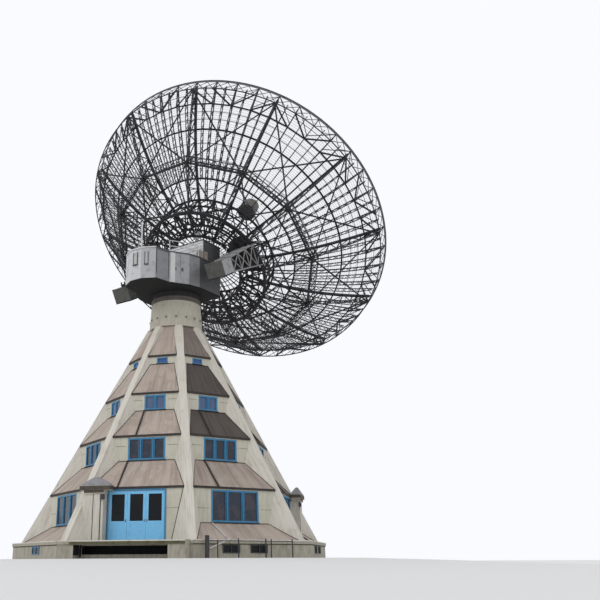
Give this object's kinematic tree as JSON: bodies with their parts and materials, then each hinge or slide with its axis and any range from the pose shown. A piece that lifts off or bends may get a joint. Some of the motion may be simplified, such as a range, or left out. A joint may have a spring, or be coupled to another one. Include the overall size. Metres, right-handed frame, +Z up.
{
  "type": "radio telescope on a building",
  "caption": "Radio telescope: lattice dish on a turning machine house above an eight-sided concrete building with sloping ribs, window rows and skirt roofs.",
  "frame": {"origin": "on the ground under the vertical turning axis, at the centre of the eight-sided building", "axes": "+Z up; the entrance faces -Y; the dish points 22.3 degrees from +Y towards +X, raised 49.6 degrees"},
  "size_m": [24.3242, 26.6858, 33.1726],
  "materials": {
    "concrete": "cast concrete, weathered",
    "roofing": "thin cast slab, streaked grey-brown",
    "glass": "dark window glass",
    "door_blue": "light blue gloss paint",
    "steel": "near-black paint, semi-matt",
    "cladding": "grey sheet, semi-matt",
    "tarred": "dark matt coating",
    "ballast": "grey-brown paint, matt",
    "wire": "dull grey wire mesh"
  },
  "bodies": {
    "building": {"foundation": "concrete", "ground_floor": "concrete", "entrance_deck": "concrete", "rib_1": "concrete", "rib_2": "concrete", "rib_3": "concrete", "rib_4": "concrete", "rib_5": "concrete", "rib_6": "concrete", "rib_7": "concrete", "rib_8": "concrete", "walls_ground": "concrete", "walls_storey_2": "concrete", "walls_storey_3": "concrete", "walls_storey_4": "concrete", "front_wall_left": "concrete", "front_wall_right": "concrete", "front_wall_over_door": "concrete", "door_leaf_middle": "door_blue", "door_leaf_right": "door_blue", "skirt_roof_0": "roofing", "skirt_roof_1": "roofing", "skirt_roof_2": "roofing", "skirt_roof_3": "roofing", "skirt_roof_4": "roofing", "floor_2": "concrete", "floor_3": "concrete", "floor_4": "concrete", "glass_storey_1": "glass", "glass_storey_2": "glass", "glass_storey_3": "glass", "glass_storey_4": "glass", "porch_left": "concrete", "porch_right": "concrete", "collar": "concrete", "bearing_ring": "steel"},
    "door": {"door_leaf_left": "door_blue"},
    "turret": {"turret_sole": "tarred", "machine_house": "cladding", "raised_house": "cladding", "bearing_housing_left": "cladding", "bearing_housing_right": "cladding"},
    "antenna": {"counterweight_left": "ballast", "counterweight_right": "ballast", "arm_left": "steel", "arm_right": "steel", "dish_frame_1": "steel", "dish_frame_2": "steel", "dish_frame_3": "steel", "dish_frame_4": "steel", "mesh_surface": "wire", "rim_ring": "steel", "feed_legs": "wire", "feed_cabin": "cladding"}
  },
  "joints": [
    {"name": "azimuth", "type": "hinge", "parent": "building", "child": "turret", "pos_m": [0, 0, 17.5], "axis": [0, 0, 1], "range_deg": [-180, 180]},
    {"name": "elevation", "type": "hinge", "parent": "turret", "child": "antenna", "pos_m": [0.56918, 1.38781, 19.8], "axis": [0.9252, -0.3795, 0], "range_deg": [-49.6, 40.4]},
    {"name": "entrance_door", "type": "hinge", "parent": "building", "child": "door", "pos_m": [-1.6, -7.28331, 2.285], "axis": [0, 0, -1], "range_deg": [0, 90]}
  ]
}
